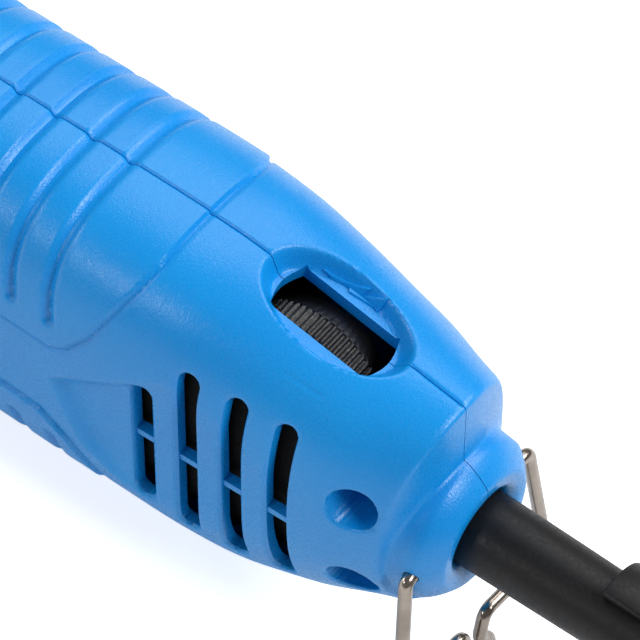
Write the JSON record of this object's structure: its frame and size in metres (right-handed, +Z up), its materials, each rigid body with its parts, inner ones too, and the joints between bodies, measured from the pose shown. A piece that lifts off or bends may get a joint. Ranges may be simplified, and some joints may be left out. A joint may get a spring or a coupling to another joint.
{
  "type": "corded rotary tool",
  "caption": "Corded handheld rotary tool: two-part ribbed housing, slotted tail, recessed speed dial, collet nose, folding wire hanger, coiled mains cord.",
  "frame": {"origin": "on the bench, under the middle of the tool's own box, with the cord's pieces left out", "axes": "+X towards the tail and the cord, +Y across the tool to the far side of the seam, +Z up; the tool lies tail-up at 9.1 degrees on its belly and its wire hanger"},
  "size_m": [0.4732, 0.0486, 0.0684],
  "materials": {
    "blue_plastic": "moulded blue ABS, fine spark texture",
    "black_nylon": "moulded black glass-filled nylon, fine texture",
    "fan_nylon": "natural nylon, smooth",
    "black_rubber": "moulded black rubber, satin",
    "black_pvc": "extruded black PVC, satin",
    "tie_nylon": "black nylon strap",
    "nickel_steel": "nickel-plated steel, bright",
    "zinc_steel": "zinc-plated steel",
    "ground_steel": "ground bearing steel",
    "lamination_steel": "stacked electrical steel sheets",
    "copper_wire": "enamelled copper wire",
    "copper_segments": "turned copper",
    "brass_stamping": "stamped brass",
    "bronze": "oil-filled sintered bronze",
    "carbon": "pressed carbon graphite",
    "board_green": "glass-epoxy board with solder mask",
    "bare_aluminium": "extruded aluminium",
    "capacitor_yellow": "moulded box capacitor",
    "lead_insulation": "PVC lead insulation"
  },
  "bodies": {
    "housing": {"housing_left": "blue_plastic", "housing_right": "blue_plastic", "housing_screws": "zinc_steel", "field_core": "lamination_steel", "field_coil_upper": "copper_wire", "field_coil_lower": "copper_wire", "air_baffle": "fan_nylon", "brush_holder_left": "brass_stamping", "brush_holder_right": "brass_stamping", "carbon_brush_left": "carbon", "carbon_brush_right": "carbon", "brush_spring_left": "ground_steel", "brush_spring_right": "ground_steel", "spindle_bush": "bronze", "nose_ring": "zinc_steel", "lock_spring": "ground_steel", "lock_guide": "black_nylon", "switch_body": "black_nylon", "potentiometer": "zinc_steel", "circuit_board": "board_green", "heat_sink": "bare_aluminium", "triac": "black_nylon", "capacitor": "capacitor_yellow", "choke": "copper_wire", "inner_leads": "lead_insulation", "strain_relief": "black_rubber", "cord": "black_pvc", "cord_coil": "black_pvc", "cord_tie": "tie_nylon", "cord_tail": "black_pvc", "plug_body": "black_pvc", "plug_pins": "nickel_steel", "rear_bearing_outer_race": "ground_steel", "rear_bearing_balls": "ground_steel", "middle_bearing_outer_race": "ground_steel", "middle_bearing_balls": "ground_steel", "spindle_bearing_outer_race": "ground_steel", "spindle_bearing_balls": "ground_steel"},
    "rotor": {"armature_shaft": "ground_steel", "armature_core": "lamination_steel", "armature_windings": "copper_wire", "commutator": "copper_segments", "cooling_fan": "fan_nylon", "drive_coupling": "black_nylon", "spindle": "ground_steel", "collet": "ground_steel", "rear_bearing_inner_race": "ground_steel", "middle_bearing_inner_race": "ground_steel", "spindle_bearing_inner_race": "ground_steel"},
    "collet_nut": {"collet_nut": "nickel_steel"},
    "nose_cap": {"nose_cap": "black_nylon"},
    "spindle_lock": {"lock_button": "black_nylon", "lock_pin": "ground_steel"},
    "switch": {"switch_slider": "black_nylon"},
    "dial": {"speed_dial": "black_nylon", "dial_shaft": "ground_steel"},
    "hanger": {"wire_hanger": "nickel_steel"}
  },
  "joints": [
    {"name": "spindle_spin", "type": "hinge", "parent": "housing", "child": "rotor", "pos_m": [-0.03087, 0, 0.03051], "axis": [0.9874, 0, 0.1582], "continuous": true},
    {"name": "collet_nut_turn", "type": "hinge", "parent": "rotor", "child": "collet_nut", "pos_m": [-0.11184, 0, 0.01754], "axis": [0.9874, 0, 0.1582], "range_deg": [0, 360]},
    {"name": "nose_cap_turn", "type": "hinge", "parent": "housing", "child": "nose_cap", "pos_m": [-0.09209, 0, 0.02071], "axis": [0.9874, 0, 0.1582], "range_deg": [0, 360]},
    {"name": "lock_press", "type": "slide", "parent": "housing", "child": "spindle_lock", "axis": [0.1582, 0, -0.9874], "range_m": [0, 0.003], "stiffness_N_per_m": 400, "springref_m": -0.002, "deforming": ["lock_spring"]},
    {"name": "switch_slide", "type": "slide", "parent": "housing", "child": "switch", "axis": [-0.9874, 0, -0.1582], "range_m": [0, 0.0052]},
    {"name": "dial_turn", "type": "hinge", "parent": "housing", "child": "dial", "pos_m": [0.03828, 0, 0.05151], "axis": [0, 1, 0], "range_deg": [-135, 135]},
    {"name": "hanger_swing", "type": "hinge", "parent": "housing", "child": "hanger", "pos_m": [0.06662, 0, 0.04147], "axis": [0, 1, 0], "range_deg": [-60, 0]}
  ]
}
